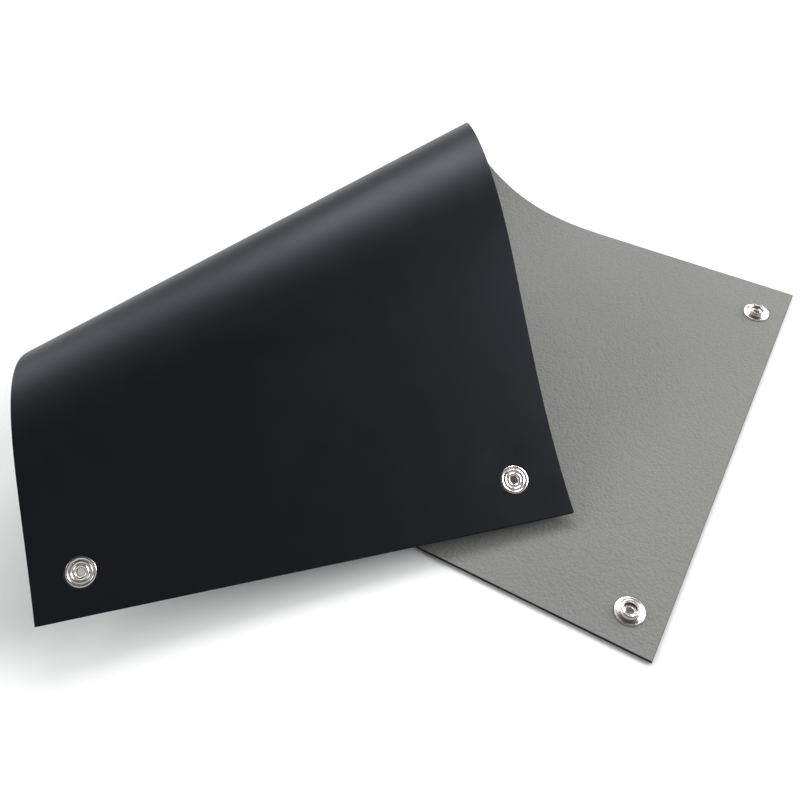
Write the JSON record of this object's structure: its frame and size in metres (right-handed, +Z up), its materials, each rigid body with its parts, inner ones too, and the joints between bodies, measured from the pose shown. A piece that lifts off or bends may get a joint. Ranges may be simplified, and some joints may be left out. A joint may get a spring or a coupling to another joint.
{
  "type": "anti static bench mat",
  "caption": "Two-layer rubber bench mat with a press stud in each corner, lying flat at one end and folded loosely back over itself at the other, dark underside up.",
  "frame": {"origin": "middle of the bounding box of the folded mat, at the level of the surface that it lies on", "axes": "+X along the mat's sides towards its flat end, +Y across the mat towards its far side, +Z up out of the grey side where it lies flat"},
  "size_m": [0.3872, 0.447, 0.1197],
  "materials": {
    "grey_rubber": "matt, fine pebble grain",
    "black_rubber": "smooth satin",
    "plated_metal": "bright nickel plate"
  },
  "bodies": {
    "root": {"bottom_layer": "black_rubber", "top_layer": "grey_rubber", "stud_flat_far": "plated_metal", "eyelet_flat_far": "plated_metal", "stud_flat_near": "plated_metal", "eyelet_flat_near": "plated_metal", "stud_fold_near": "plated_metal", "eyelet_fold_near": "plated_metal", "stud_fold_far": "plated_metal", "eyelet_fold_far": "plated_metal"}
  },
  "joints": []
}
